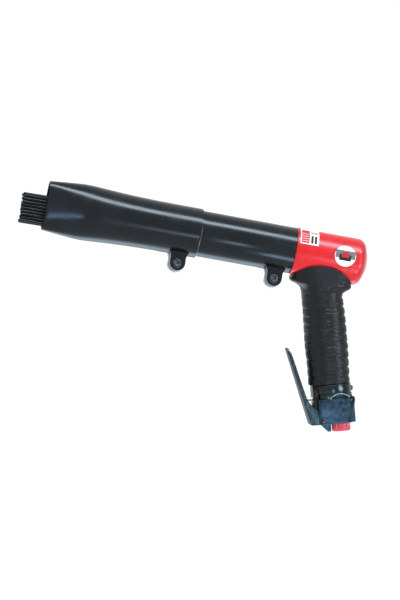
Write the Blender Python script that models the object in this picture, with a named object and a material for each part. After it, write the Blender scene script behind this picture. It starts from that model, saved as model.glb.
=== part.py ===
"""Pistol-grip pneumatic needle scaler, the air hammer that strikes a bundle of needles.

Two lines carry the whole design. The barrel line runs along X, muzzle towards -X, with x = 0 at
the front face of the handle casting. The grip line leaves it at GRIP_X and runs down, raked
backwards. Sizes are millimetres and the MM factor turns them to metres. On the barrel line a piece
is drawn about its own Z, which is X in the world. On the grip line x is backwards, y is towards
the left side of the tool and z is the distance down the grip.
"""

import math

import bmesh
import bpy
import numpy as np
from mathutils import Matrix, Vector

MM = 0.001
GAP = 0.3                 # clearance between pieces that touch or slide

# Where the middle of the tool's box is, seen from the barrel line's zero
CENTRE_X = -92.48
CENTRE_Z = -71.98

# Grip line
GRIP_X = 26.8
GRIP_RAKE = 15.5

# Tubes on the barrel line
FRONT_R = 24.8            # front tube, outside
FRONT_IN = 23.4
REAR_R = 23.1             # rear tube, outside
REAR_IN = 21.1
SEAM_X = -96.7
REAR_TUBE_NOSE = -135.0
LUG_TURN = 12.0           # the clamps sit this far round towards the left side
LUG_R = 7.8
LUG_IN, LUG_OUT = 4.0, 9.8
FRONT_LUG = (-114.4, 34.5)
REAR_LUG = (-15.9, 32.5)
SCREW_R = 2.9
SCREW_HEAD_R = 4.5

# Nose of the front tube: x, half height, half width, squareness of the section, inside the wall
NOSE = (
    (-140, 24.9, 24.8, 2.0),
    (-162, 25.4, 24.8, 2.0),
    (-186, 26.4, 24.6, 2.0),
    (-204, 27.6, 24.0, 2.0),
    (-215, 28.2, 22.6, 2.05),
    (-226, 27.4, 19.4, 2.15),
    (-240, 26.1, 14.2, 2.4),
    (-253, 24.8, 9.8, 2.7),
)
WALL = 1.5

# Needles
NEEDLE_R = 1.5
NEEDLE_HEAD_R = 2.3
NEEDLE_COUNTS = (9, 10, 9)      # columns of the flattened bundle
NEEDLE_RINGS = ((4, 3.6), (10, 8.7), (14, 13.7))
NEEDLE_PITCH = 3.12
BUNDLE_Z = (-5.3, -6.1)         # middle of the bundle at the rim and at the tips
HEAD_X, HOLDER_BACK, HOLDER_FRONT = -93.3, -96.8, -102.8
TIP_X = -278.6

# Blow mechanism
HEAD_R = 23.5
HEAD_END = 74.8
BORE_R = 19.3
BORE_END = 58.0
CYLINDER_FRONT = -72.0
PISTON_R = 12.4
ANVIL_R = 9.0

# Grip, in the grip line's own axes: t backwards, s down
SLEEVE_END = 129.0
CORE_T, CORE_Y = 17.8, 14.3
NECK_T = 1.8              # the valve block sits this far behind the grip line
BLOCK_TOP, BLOCK_END = 143.4, 168.6
BLOCK_HALF_T, BLOCK_HALF_Y = 16.3, 17.0
BOSS_FRONT = -18.4
STEM_S = 143.1
COLLAR_SCREW_S = 135.4
STEM_R = 1.9
INLET_T = 8.3
PIVOT_S, PIVOT_T = 165.7, -11.2

ROUND = 32                # sides of a large turned piece
FINE = 20                 # sides of a small one


# ---------------------------------------------------------------- materials and objects

def material(name, rgb, metallic, roughness):
    """A Principled material, made once for each name."""
    found = bpy.data.materials.get(name)
    if found:
        return found
    made = bpy.data.materials.new(name)
    made.use_nodes = True
    shader = made.node_tree.nodes["Principled BSDF"]
    shader.inputs["Base Color"].default_value = (*rgb, 1.0)
    shader.inputs["Metallic"].default_value = metallic
    shader.inputs["Roughness"].default_value = roughness
    return made


def black_steel():
    return material("black_lacquered_steel", (0.012, 0.014, 0.017), 0.1, 0.22)


def bright_steel():
    return material("bright_steel", (0.55, 0.56, 0.58), 1.0, 0.3)


def dark_steel():
    return material("oiled_steel", (0.10, 0.11, 0.12), 1.0, 0.42)


def block_steel():
    return material("phosphated_steel", (0.10, 0.16, 0.22), 0.7, 0.4)


def red_enamel():
    return material("red_enamel", (0.72, 0.03, 0.035), 0.0, 0.25)


def black_rubber():
    return material("black_rubber", (0.02, 0.021, 0.024), 0.0, 0.6)


def white_film():
    return material("white_film", (0.85, 0.85, 0.83), 0.0, 0.4)


def empty(name, matrix, parent=None):
    """A guide that carries pieces and is no piece itself."""
    guide = bpy.data.objects.new(name, None)
    bpy.context.scene.collection.objects.link(guide)
    guide.parent = parent
    guide.matrix_local = matrix
    return guide


def add(name, mesh, finish, line, at=(0.0, 0.0, 0.0), turn=None):
    """Put a mesh on a line, with its origin at a point of that line."""
    mesh.transform(Matrix.Translation(Vector(at) * -1.0))
    mesh.transform(Matrix.Diagonal((MM, MM, MM, 1.0)))
    piece = bpy.data.objects.new(name, mesh)
    bpy.context.scene.collection.objects.link(piece)
    if finish:
        mesh.materials.append(finish)
    mesh.shade_smooth()
    mesh.set_sharp_from_angle(angle=math.radians(35))
    piece.parent = line
    piece.location = Vector(at) * MM
    if turn:
        piece.rotation_euler = turn
    return piece


def cutter(name, mesh, line, at=(0.0, 0.0, 0.0)):
    """A shape that only cuts or joins others."""
    shape = add(name, mesh, None, line, at)
    shape.hide_render = True
    shape.display_type = "WIRE"
    return shape


def combine(piece, shape, operation="DIFFERENCE"):
    """A live Boolean between a piece and a cutter."""
    step = piece.modifiers.new(shape.name, "BOOLEAN")
    step.operation = operation
    step.solver = "EXACT"
    step.object = shape


# ---------------------------------------------------------------- mesh makers, in millimetres

def finish_mesh(name, form):
    bmesh.ops.recalc_face_normals(form, faces=form.faces)
    mesh = bpy.data.meshes.new(name)
    form.to_mesh(mesh)
    form.free()
    return mesh


def turned(name, profile, sides=FINE, ring=False):
    """Turn (radius, z) points about Z. A solid's profile starts and ends at radius 0."""
    form = bmesh.new()
    rings = []
    for radius, z in profile:
        angles = [2 * math.pi * k / sides for k in range(sides)] if radius else [0]
        rings.append([form.verts.new((radius * math.cos(a), radius * math.sin(a), z)) for a in angles])
    pairs = list(zip(rings, rings[1:]))
    if ring:
        pairs.append((rings[-1], rings[0]))
    for one, two in pairs:
        if len(one) == len(two) == 1:
            continue
        for k in range(sides):
            after = (k + 1) % sides
            corners = []
            for vert in (one[k % len(one)], one[after % len(one)],
                         two[after % len(two)], two[k % len(two)]):
                if vert not in corners:
                    corners.append(vert)
            form.faces.new(corners)
    return finish_mesh(name, form)


def lofted(name, loops, closed=False):
    """Skin a list of equal loops of points. The ends are capped, or joined in a ring if closed."""
    form = bmesh.new()
    rings = [[form.verts.new(point) for point in loop] for loop in loops]
    count = len(rings[0])
    pairs = list(zip(rings, rings[1:]))
    if closed:
        pairs.append((rings[-1], rings[0]))
    for one, two in pairs:
        for k in range(count):
            after = (k + 1) % count
            form.faces.new((one[k], one[after], two[after], two[k]))
    if not closed:
        form.faces.new(rings[0])
        form.faces.new(list(reversed(rings[-1])))
    return finish_mesh(name, form)


def rod(name, radius, z0, z1, sides=FINE):
    return turned(name, [(0, z0), (radius, z0), (radius, z1), (0, z1)], sides)


def tube(name, outer, inner, z0, z1, sides=FINE):
    return turned(name, [(outer, z0), (outer, z1), (inner, z1), (inner, z0)], sides, ring=True)


def box(name, low, high):
    (x0, y0, z0), (x1, y1, z1) = low, high
    loops = [[(x0, y0, z), (x1, y0, z), (x1, y1, z), (x0, y1, z)] for z in (z0, z1)]
    return lofted(name, loops)


def prism(name, outline, y0, y1):
    """Side-view outline of (x, z) points, as thick as y0 to y1."""
    return lofted(name, [[(x, y, z) for x, z in outline] for y in (y0, y1)])


def oval(half_x, half_y, power, sides):
    """Points of a superellipse: power 2 is an ellipse, more is squarer."""
    points = []
    for k in range(sides):
        a = 2 * math.pi * k / sides
        c, s = math.cos(a), math.sin(a)
        points.append((half_x * math.copysign(abs(c) ** (2 / power), c),
                       half_y * math.copysign(abs(s) ** (2 / power), s)))
    return points


def swept(name, route, radii, sides):
    """A round bar through points of rising z, its section kept level."""
    loops = []
    for (x, y, z), radius in zip(route, radii):
        angles = [2 * math.pi * (k + 0.5) / sides for k in range(sides)]
        loops.append([(x + radius * math.cos(a), y + radius * math.sin(a), z) for a in angles])
    return lofted(name, loops)


def coil(name, radius, wire, z0, z1, turns, per_turn=12, sides=5):
    """A compression spring about Z."""
    loops = []
    steps = turns * per_turn
    rise = (z1 - z0 - 2 * wire) / steps
    for k in range(steps + 1):
        a = 2 * math.pi * k / per_turn
        out = Vector((math.cos(a), math.sin(a), 0))
        middle = out * radius + Vector((0, 0, z0 + wire + rise * k))
        angles = [2 * math.pi * m / sides for m in range(sides)]
        loops.append([middle + wire * (math.cos(b) * out + math.sin(b) * Vector((0, 0, 1))) for b in angles])
    return lofted(name, loops)


def along_x(mesh):
    """Turn a mesh drawn about Z so that its Z lies along X."""
    mesh.transform(Matrix(((0, 0, 1, 0), (1, 0, 0, 0), (0, 1, 0, 0), (0, 0, 0, 1))))
    return mesh


def along_y(mesh):
    """Turn a mesh drawn about Z so that its Z lies along Y."""
    mesh.transform(Matrix(((0, 1, 0, 0), (0, 0, 1, 0), (1, 0, 0, 0), (0, 0, 0, 1))))
    return mesh


def moved(mesh, offset):
    mesh.transform(Matrix.Translation(offset))
    return mesh


# ---------------------------------------------------------------- clamps of the two tubes

def lug_frame():
    """Turn of the clamps about the barrel line, as a matrix for barrel meshes.

    On the barrel line local x is the tool's right and local y is up. Straight down is -y, and the
    clamps are turned from it towards the left, -x.
    """
    return Matrix.Rotation(math.radians(-LUG_TURN), 4, "Z")


def add_clamp(piece, name, lug, line, tube_radius, slit_from, slit_to):
    """Two ears, the slit between them and the screw's holes, all at the bottom of a tube."""
    x, reach = lug
    frame = lug_frame()
    foot = [(reach + LUG_R * math.sin(a), x + LUG_R * math.cos(a))
            for a in (math.pi * k / 12 for k in range(13))]
    outline = [(tube_radius * 0.9, x + LUG_R), *foot, (tube_radius * 0.9, x - LUG_R)]
    for side in (-1, 1):
        ear = lofted(name + "_ear", [[(across, -down, z) for down, z in outline]
                                     for across in (side * LUG_IN, side * LUG_OUT)])
        ear.transform(frame)
        combine(piece, cutter(f"{name}_ear_{side}", ear, line), "UNION")
    slit = box(name + "_slit", (-1.2, -tube_radius - 3, slit_from), (1.2, -tube_radius + 4, slit_to))
    slit.transform(frame)
    combine(piece, cutter(name + "_slit", slit, line))
    hole = [(0, -12), (SCREW_HEAD_R + GAP, -12), (SCREW_HEAD_R + GAP, -LUG_OUT + 4.4),
            (SCREW_R + GAP, -LUG_OUT + 4.4), (SCREW_R + GAP, 12), (0, 12)]
    drill = turned(name + "_drill", hole)
    drill.transform(Matrix.Rotation(math.radians(90), 4, "Y"))
    drill = moved(drill, (0, -reach, x))
    drill.transform(frame)
    combine(piece, cutter(name + "_drill", drill, line))


def clamp_screw(name, lug, line):
    """Socket screw across the ears, its head sunk in the left one."""
    x, reach = lug
    top = -LUG_OUT + 0.4
    seat = -LUG_OUT + 4.1
    screw = turned(name, [(0, seat - 1), (2.1, seat - 1), (2.3, top + 0.3), (SCREW_HEAD_R - 0.4, top),
                          (SCREW_HEAD_R, top + 0.4), (SCREW_HEAD_R, seat), (SCREW_R, seat),
                          (SCREW_R, LUG_OUT - 0.6), (SCREW_R - 0.6, LUG_OUT), (0, LUG_OUT)], 18)
    screw.transform(Matrix.Rotation(math.radians(90), 4, "Y"))
    screw = moved(screw, (0, -reach, x))
    screw.transform(lug_frame())
    add(name, screw, dark_steel(), line)


# ---------------------------------------------------------------- tubes

def front_tube(line):
    """Clamped over the rear tube, round at the back and flattened to an upright oval mouth."""
    sections = [(SEAM_X - GAP, FRONT_R, FRONT_R, 2.0), *NOSE]
    outside = [[(px, py, x) for px, py in oval(width, height, power, ROUND)]
               for x, height, width, power in sections]
    walls = [WALL + 0.5] * 2 + [WALL] * (len(sections) - 2)
    inside = [[(px, py, x) for px, py in oval(width - wall, height - wall, power, ROUND)]
              for (x, height, width, power), wall in reversed(list(zip(sections, walls)))]
    piece = add("front_tube", lofted("front_tube", outside + inside, closed=True), black_steel(), line,
                at=(0, 0, SEAM_X))
    add_clamp(piece, "front", FRONT_LUG, line, FRONT_R, -136, SEAM_X + 2)
    clearance = rod("front_bore", FRONT_IN, -138, SEAM_X + 5, 36)
    combine(piece, cutter("front_bore", clearance, line))


def rear_tube(line):
    """Clamped over the cylinder, with a lip at its hidden nose that seats the needle spring."""
    nose = REAR_TUBE_NOSE
    profile = [(REAR_R, -GAP), (REAR_R, nose), (17.0, nose), (17.0, -GAP)]
    piece = add("rear_tube", turned("rear_tube", profile, 36, ring=True), black_steel(), line)
    add_clamp(piece, "rear", REAR_LUG, line, REAR_R, -32, 2)
    clearance = rod("rear_bore", REAR_IN, nose + 3, 4, 36)
    combine(piece, cutter("rear_bore", clearance, line))


# ---------------------------------------------------------------- needles

def ring_places():
    """Where the needles sit in the holder, as (x, y) across the barrel line."""
    places = []
    for count, radius in NEEDLE_RINGS:
        for k in range(count):
            a = 2 * math.pi * (k + 0.5) / count
            places.append((radius * math.cos(a), radius * math.sin(a)))
    return places


def mouth_places(holder):
    """Give each needle its place in the flat bundle: sorted across into columns, then by height."""
    order = sorted(range(len(holder)), key=lambda n: (round(holder[n][0], 6), holder[n][1]))
    places = [None] * len(holder)
    start = 0
    for column, count in enumerate(NEEDLE_COUNTS):
        members = sorted(order[start:start + count], key=lambda n: holder[n][1])
        start += count
        for row, n in enumerate(members):
            places[n] = ((column - 1) * NEEDLE_PITCH * 0.885, (row - (count - 1) / 2) * NEEDLE_PITCH)
    return places


def apart(points, least):
    """Push points away from each other until none are closer than the least distance."""
    points = np.array(points, dtype=float)
    for _ in range(400):
        moved_any = False
        for i in range(len(points)):
            for j in range(i + 1, len(points)):
                step = points[j] - points[i]
                distance = np.hypot(*step)
                if distance < least - 1e-6:
                    push = step / distance * (least - distance) / 2
                    points[i] -= push
                    points[j] += push
                    moved_any = True
        if not moved_any:
            break
    return points


def needles(line):
    """Straight through the holder, then drawn together into the flat bundle of the mouth."""
    holder = ring_places()
    mouth = mouth_places(holder)
    stations = (-118, -140, -160, -180, -200, -218, -236)
    drawn = []
    for x in stations:
        share = (stations[0] - x) / (stations[0] - stations[-1])
        share = share * share * (3 - 2 * share)
        middle = BUNDLE_Z[0] * share
        points = [(a[0] + (b[0] - a[0]) * share, a[1] + (b[1] - a[1]) * share) for a, b in zip(holder, mouth)]
        drawn.append([(px, py + middle) for px, py in apart(points, NEEDLE_PITCH)])
    for n, (x, y) in enumerate(holder):
        length = TIP_X + 2.2 * abs(math.sin(2.7 * n + 0.6))
        drop = BUNDLE_Z[1] - BUNDLE_Z[0]
        route = [(x, y, HEAD_X), (x, y, HOLDER_BACK + GAP), (x, y, HOLDER_BACK + GAP), (x, y, -112)]
        radii = [NEEDLE_HEAD_R, NEEDLE_HEAD_R, NEEDLE_R, NEEDLE_R]
        for station, places in zip(stations, drawn):
            route.append((*places[n], station))
            radii.append(NEEDLE_R)
        last_x, last_y = drawn[-1][n]
        route.append((last_x, last_y + drop, length))
        radii.append(NEEDLE_R)
        bar = swept("needle", route, radii, 6)
        add(f"needle_{n + 1:02d}", bar, dark_steel(), line, at=(0, 0, HEAD_X))


def needle_holder(line):
    """Plate with a hole for each needle."""
    piece = add("needle_holder", rod("needle_holder", 20.6, HOLDER_FRONT, HOLDER_BACK, ROUND),
                bright_steel(), line, at=(0, 0, HEAD_X))
    form = bmesh.new()
    for x, y in ring_places():
        drill = rod("drill", NEEDLE_R + GAP, HOLDER_FRONT - 2, HOLDER_BACK + 2, 6)
        form.from_mesh(moved(drill, (x, y, 0)))
    combine(piece, cutter("needle_holes", finish_mesh("needle_holes", form), line))


# ---------------------------------------------------------------- blow mechanism

def blow_mechanism(line):
    """Cylinder, piston, anvil and the disc valve behind them."""
    front = CYLINDER_FRONT
    cylinder = [(REAR_IN - GAP, front), (REAR_IN - GAP, -2.4), (BORE_R - GAP, -2.4), (BORE_R - GAP, 38.0),
                (PISTON_R + GAP, 38.0), (PISTON_R + GAP, front + 22), (15.0, front + 22), (15.0, front)]
    add("cylinder", turned("cylinder", cylinder, ROUND, ring=True), bright_steel(), line)
    add("cylinder_gasket", tube("cylinder_gasket", REAR_IN - GAP, BORE_R, -2.1, -GAP), black_rubber(), line)
    piston = [(0, -8.0), (7.0, -8.0), (7.6, -6.5), (PISTON_R - 1, -6.5), (PISTON_R, -5.5),
              (PISTON_R, 29.0), (PISTON_R - 1, 30.0), (6.0, 30.0), (6.0, 12.0), (0, 12.0)]
    add("piston", turned("piston", piston), bright_steel(), line)
    sleeve = [(14.7, front + 0.5), (14.7, front + 21.7), (ANVIL_R + GAP, front + 21.7),
              (ANVIL_R + GAP, front + 0.5)]
    add("anvil_sleeve", turned("anvil_sleeve", sleeve, FINE, ring=True), bright_steel(), line)
    add("anvil_buffer", tube("anvil_buffer", 18.0, 10.0, front - 5.7, front - GAP), black_rubber(), line)
    anvil = [(0, -90.0), (17.0, -90.0), (18.0, -89.0), (18.0, -79.0), (17.0, -78.0), (ANVIL_R, -78.0),
             (ANVIL_R, -41.5), (ANVIL_R - 1, -40.5), (0, -40.5)]
    add("anvil", turned("anvil", anvil), bright_steel(), line)
    add("valve_seat", tube("valve_seat", BORE_R - GAP, 5.0, 38.3, 43.0), bright_steel(), line)
    add("valve_disc", rod("valve_disc", 9.6, 43.3, 44.5), bright_steel(), line)
    cap = [(BORE_R - GAP, 43.3), (BORE_R - GAP, 56.0), (4.0, 56.0), (4.0, 45.8), (10.0, 45.8), (10.0, 43.3)]
    add("valve_cap", turned("valve_cap", cap, FINE, ring=True), bright_steel(), line)
    spring = coil("needle_spring", 18.3, 1.2, REAR_TUBE_NOSE + 3.3, HOLDER_FRONT - GAP, 4, 12, 4)
    add("needle_spring", spring, bright_steel(), line)


# ---------------------------------------------------------------- handle and grip

def handle_body(barrel, grip):
    """One casting: the head that holds the cylinder and the core that the rubber slides on."""
    dome = 9.0
    head = [(BORE_R, 0), (HEAD_R - 0.6, 0), (HEAD_R, 0.6), (HEAD_R, HEAD_END - dome - 3)]
    for k in range(1, 6):
        a = math.radians(90 - 15 * k)
        head.append((HEAD_R - dome + dome * math.sin(a), HEAD_END - dome - 3 + dome * math.cos(a)))
    head += [(9.0, HEAD_END - 0.7), (0, HEAD_END), (0, BORE_END), (BORE_R, BORE_END)]
    piece = add("handle_body", turned("handle_body", head, ROUND, ring=True), red_enamel(), barrel)
    core = lofted("core", [[(x, y, s) for x, y in oval(CORE_T, CORE_Y, 2.2, 28)]
                           for s in (16, SLEEVE_END - 1)])
    combine(piece, cutter("handle_core", core, grip), "UNION")
    combine(piece, cutter("handle_bore", rod("bore", BORE_R, -2, BORE_END, ROUND), barrel))
    passage = turned("passage", [(0, 4), (6, 4), (6, 110), (10, 110), (10, 140), (0, 140)])
    combine(piece, cutter("handle_passage", moved(passage, (NECK_T, 0, 0)), grip))


def grip_point(t, s):
    """A point of the grip line's side view, in the barrel's (x, z)."""
    rake = math.radians(GRIP_RAKE)
    return (GRIP_X + s * math.sin(rake) + t * math.cos(rake), t * math.sin(rake) - s * math.cos(rake))


def grip_sleeve(world, barrel, grip):
    """Rubber sleeve: an oval tube that flares into a saddle under the head."""
    loops = []
    bands = (  # front point, back point, half width, squareness
        (grip_point(-21.4, SLEEVE_END), grip_point(20.8, SLEEVE_END), 17.8, 2.2),
        (grip_point(-21.2, 110), grip_point(21.4, 110), 18.1, 2.2),
        (grip_point(-22.1, 88), grip_point(22.1, 88), 18.4, 2.2),
        (grip_point(-21.3, 60), grip_point(21.6, 60), 18.2, 2.2),
        ((17.4, -45.5), (59.0, -38.5), 18.4, 2.2),
        ((15.9, -37.5), (56.9, -33.6), 18.7, 2.2),
        ((11.2, -31.8), (60.5, -30.4), 19.2, 2.3),
        ((2.6, -30.2), (64.2, -27.6), 20.0, 2.4),
        ((1.4, -27.4), (64.2, -24.6), 21.0, 2.5),
        ((3.6, -18.4), (61.8, -19.8), 23.6, 3.2),
        ((10.6, -12.0), (56.4, -12.8), 24.6, 3.6),
        ((19.0, -8.3), (49.0, -8.3), 24.9, 4.0),
    )
    for front, back, width, power in bands:
        middle = ((front[0] + back[0]) / 2, (front[1] + back[1]) / 2)
        half = ((back[0] - front[0]) / 2, (back[1] - front[1]) / 2)
        loops.append([(middle[0] + half[0] * a, b * width, middle[1] + half[1] * a)
                      for a, b in oval(1.0, 1.0, power, ROUND)])
    piece = add("grip_sleeve", lofted("grip_sleeve", loops), black_rubber(), world)
    combine(piece, cutter("sleeve_head", rod("head", HEAD_R + GAP, -20, 90, ROUND), barrel))
    core = lofted("hollow", [[(x, y, s) for x, y in oval(CORE_T + GAP, CORE_Y + GAP, 2.2, 28)]
                             for s in (10, SLEEVE_END + 4)])
    combine(piece, cutter("sleeve_core", core, grip))


def films(barrel):
    """Blank data label over the top of the head and a blank round badge on its left side."""
    radius, thick = HEAD_R + GAP, 0.5
    form = bmesh.new()
    columns, rows = 2, 10
    layers = []
    for r in (radius, radius + thick):
        grid = []
        for j in range(rows + 1):
            a = math.radians(24 + (156 - 24) * j / rows)
            grid.append([form.verts.new((-r * math.cos(a), r * math.sin(a), 2.6 + 18.6 * i / columns))
                         for i in range(columns + 1)])
        layers.append(grid)
    close_film(form, layers)
    add("data_label", finish_mesh("data_label", form), white_film(), barrel)

    form = bmesh.new()
    sides, badge_r, middle_x, middle_a = 24, 10.7, 49.4, math.asin(5.1 / HEAD_R)
    rims = []
    for r in (radius, radius + thick):
        rings = []
        for share in (0.5, 1.0):
            ring = []
            for k in range(sides):
                turn = 2 * math.pi * k / sides
                a = middle_a + badge_r * share * math.sin(turn) / r
                ring.append(form.verts.new((-r * math.cos(a), r * math.sin(a),
                                            middle_x + badge_r * share * math.cos(turn))))
            rings.append(ring)
        hub = form.verts.new((-r * math.cos(middle_a), r * math.sin(middle_a), middle_x))
        for k in range(sides):
            after = (k + 1) % sides
            form.faces.new((hub, rings[0][k], rings[0][after]))
            form.faces.new((rings[0][k], rings[1][k], rings[1][after], rings[0][after]))
        rims.append(rings[1])
    for k in range(sides):
        after = (k + 1) % sides
        form.faces.new((rims[0][k], rims[0][after], rims[1][after], rims[1][k]))
    add("round_badge", finish_mesh("round_badge", form), white_film(), barrel)


def close_film(form, layers):
    """Faces of two equal grids and of the wall between their edges."""
    for grid in layers:
        for one, two in zip(grid, grid[1:]):
            for i in range(len(one) - 1):
                form.faces.new((one[i], one[i + 1], two[i + 1], two[i]))
    rims = []
    for grid in layers:
        right = [row[-1] for row in grid[1:]]
        left = [row[0] for row in grid[-2:0:-1]]
        rims.append(grid[0] + right + grid[-1][-2::-1] + left)
    low, high = rims
    for k in range(len(low)):
        after = (k + 1) % len(low)
        form.faces.new((low[k], low[after], high[after], high[k]))


# ---------------------------------------------------------------- throttle

def valve_block(grip):
    """Steel block under the grip: inlet from below, throttle valve across, neck up into the core."""
    t0, t1 = NECK_T - BLOCK_HALF_T, NECK_T + BLOCK_HALF_T
    half = BLOCK_HALF_Y
    corner = 2.0
    outline = [(t0, -half + corner), (t0, half - corner), (t0 + corner, half), (t1 - corner, half),
               (t1, half - corner), (t1, -half + corner), (t1 - corner, -half), (t0 + corner, -half)]
    body = lofted("valve_block", [[(x, y, s) for x, y in outline] for s in (BLOCK_TOP, BLOCK_END)])
    piece = add("valve_block", body, block_steel(), grip)
    neck = turned("neck", [(0, 112), (9.7, 112), (9.7, 129.3), (13.5, 129.3), (13.5, 138.6), (18.6, 138.6),
                           (18.6, BLOCK_TOP + 1), (0, BLOCK_TOP + 1)], ROUND)
    neck = cutter("block_neck", moved(neck, (NECK_T, 0, 0)), grip)
    limits = box("limits", (t0 + 0.2, 0.1 - half, 100), (t1 - 0.1, half - 0.1, 150))
    combine(neck, cutter("neck_limits", limits, grip), "INTERSECT")
    combine(piece, neck, "UNION")
    combine(piece, cutter("block_boss", box("boss", (BOSS_FRONT, -10.5, 130), (-9, 10.5, 166)), grip), "UNION")
    toe = prism("toe", [(-13.5, BLOCK_END - 1), (-12.9, BLOCK_END + 0.6), (-6.0, 177.0), (-2.8, 177.0),
                        (-2.0, BLOCK_END - 1)], -6, 6)
    combine(piece, cutter("block_toe", toe, grip), "UNION")
    for side in (-1, 1):
        y0, y1 = sorted((side * 10.8, side * 13.4))
        slot = box("slot", (-22, y0, 150), (-3.0, y1, 180))
        combine(piece, cutter(f"lever_slot_{side}", slot, grip))
        y0, y1 = sorted((side * 15.4, side * 22))
        arch = moved(along_y(rod("arch", 12.5, y0, y1, 24)), (7.4, 0, 151.4))
        below = box("below", (-40, -30, BLOCK_TOP), (40, 30, 190))
        shape = cutter(f"neck_arch_{side}", arch, grip)
        combine(shape, cutter(f"arch_floor_{side}", below, grip))
        combine(piece, shape)
    valve_bore = turned("valve_bore", [(0, -30), (STEM_R + GAP, -30), (STEM_R + GAP, -9), (2.9, -9),
                                       (2.9, 1.5), (4.2, 1.5), (4.2, 30), (0, 30)])
    combine(piece, cutter("valve_bore", moved(along_x(valve_bore), (0, 0, STEM_S)), grip))
    inlet = turned("inlet", [(0, STEM_S), (3, STEM_S), (3, 152.5), (6.2, 152.5), (6.2, 159.7), (9.5, 159.7),
                             (9.5, 190), (0, 190)])
    combine(piece, cutter("inlet_bore", moved(inlet, (INLET_T, 0, 0)), grip))
    outlet = rod("outlet", 3.0, 100, STEM_S)
    combine(piece, cutter("outlet_bore", moved(outlet, (-3.0, 0, 0)), grip))
    pin = moved(along_y(rod("pin", 1.5 + GAP, -25, 25, 14)), (PIVOT_T, 0, PIVOT_S))
    combine(piece, cutter("pin_bore", pin, grip))


def exhaust_collar(grip):
    """Glossy ring between rubber and block, flat in front where the block's boss passes."""
    ring = tube("exhaust_collar", 19.5, 13.8, SLEEVE_END + GAP, 138.3, ROUND)
    piece = add("exhaust_collar", moved(ring, (NECK_T, 0, 0)), black_steel(), grip)
    combine(piece, cutter("collar_flat", box("flat", (-30, -30, 120), (-13.4, 30, 150)), grip))
    gap = box("collar_gap", (-30, -11.3, 120), (-8.0, 11.3, 150))
    combine(piece, cutter("collar_gap", gap, grip))
    hole = moved(along_x(rod("hole", 1.8, 14, 30, 14)), (0, 0, COLLAR_SCREW_S))
    combine(piece, cutter("collar_hole", hole, grip))
    screw = turned("collar_screw", [(0, 17.0), (1.5, 17.0), (1.5, 21.6), (2.9, 21.6), (2.9, 22.6),
                                    (2.0, 23.4), (0, 23.4)], 14)
    add("collar_screw", moved(along_x(screw), (0, 0, COLLAR_SCREW_S)), dark_steel(), grip)


def throttle(grip):
    """Lever on its pin, the stem that it pushes, and the spring and plug behind the stem."""
    stations = (  # along the plate: outer edge, and the flange's edge with its depth; half width
        (0.0, 2.2, 2.6, 7.2), (2.5, 4.6, 3.3, 8.6), (9.0, 9.0, 3.5, 9.4), (36.0, 36.0, 3.7, 11.4),
        (53.0, 54.5, 4.0, 13.0), (59.5, 62.0, 6.4, 13.0), (66.0, 69.5, 11.0, 13.0), (72.0, 76.6, 15.8, 13.0),
        (77.0, 81.6, 16.4, 13.0), (80.6, 84.2, 13.2, 13.0),
    )
    tip = (-41.3, 90.0)
    lean = math.atan2(18.2, 79.3)
    wall = 1.9
    loops = []

    def plate(p, q):
        return (tip[0] + p * math.sin(lean) + q * math.cos(lean),
                tip[1] + p * math.cos(lean) - q * math.sin(lean))

    for outer, edge, depth, half in stations:
        inner = outer + (edge - outer) * wall / depth
        rows = ((outer, 0, half), (edge, depth, half), (edge, depth, half - wall), (inner, wall, half - wall))
        right = [(plate(p, q)[0], y, plate(p, q)[1]) for p, q, y in rows]
        left = [(x, -y, s) for x, y, s in reversed(right)]
        loops.append(right + left)
    lever = add("throttle_lever", lofted("throttle_lever", loops), block_steel(), grip,
                at=(PIVOT_T, 0, PIVOT_S))
    hole = moved(along_y(rod("hole", 1.5 + GAP, -25, 25, 14)), (PIVOT_T, 0, PIVOT_S))
    combine(lever, cutter("lever_hole", hole, grip))
    pin = turned("lever_pin", [(0, -16.7), (1.5, -16.7), (1.5, 16.7), (0, 16.7)], 14)
    add("lever_pin", moved(along_y(pin), (PIVOT_T, 0, PIVOT_S)), bright_steel(), grip,
        at=(PIVOT_T, 0, PIVOT_S))
    stem = turned("throttle_stem", [(0, -26.5), (1.0, -26.3), (STEM_R, -25.4), (STEM_R, 2.0), (3.8, 2.0),
                                    (3.8, 4.0), (0, 4.0)], 16)
    add("throttle_stem", moved(along_x(stem), (0, 0, STEM_S)), bright_steel(), grip,
        at=(-26.5, 0, STEM_S))
    spring = coil("throttle_spring", 3.0, 0.45, 4.3, 14.7, 5, 8, 4)
    add("throttle_spring", moved(along_x(spring), (0, 0, STEM_S)), bright_steel(), grip,
        at=(14.7, 0, STEM_S))
    plug = turned("valve_plug", [(0, 15.0), (3.9, 15.0), (3.9, 18.4), (4.4, 18.4), (4.4, 20.6), (3.6, 21.4),
                                 (0, 21.4)], 18)
    add("valve_plug", moved(along_x(plug), (0, 0, STEM_S)), dark_steel(), grip)
    clip = [(18.4, 169.0), (22.2, 169.0), (22.3, 152.0), (23.2, 148.6), (23.6, 144.8), (22.7, 143.6),
            (21.8, 144.4), (21.9, 147.2), (18.4, 150.6)]
    add("valve_clip", prism("valve_clip", clip, -10, 10), dark_steel(), grip)
    seal = tube("stem_seal", 2.8, STEM_R + 0.1, -8.6, -7.2, 16)
    add("stem_seal", moved(along_x(seal), (0, 0, STEM_S)), black_rubber(), grip)


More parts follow.
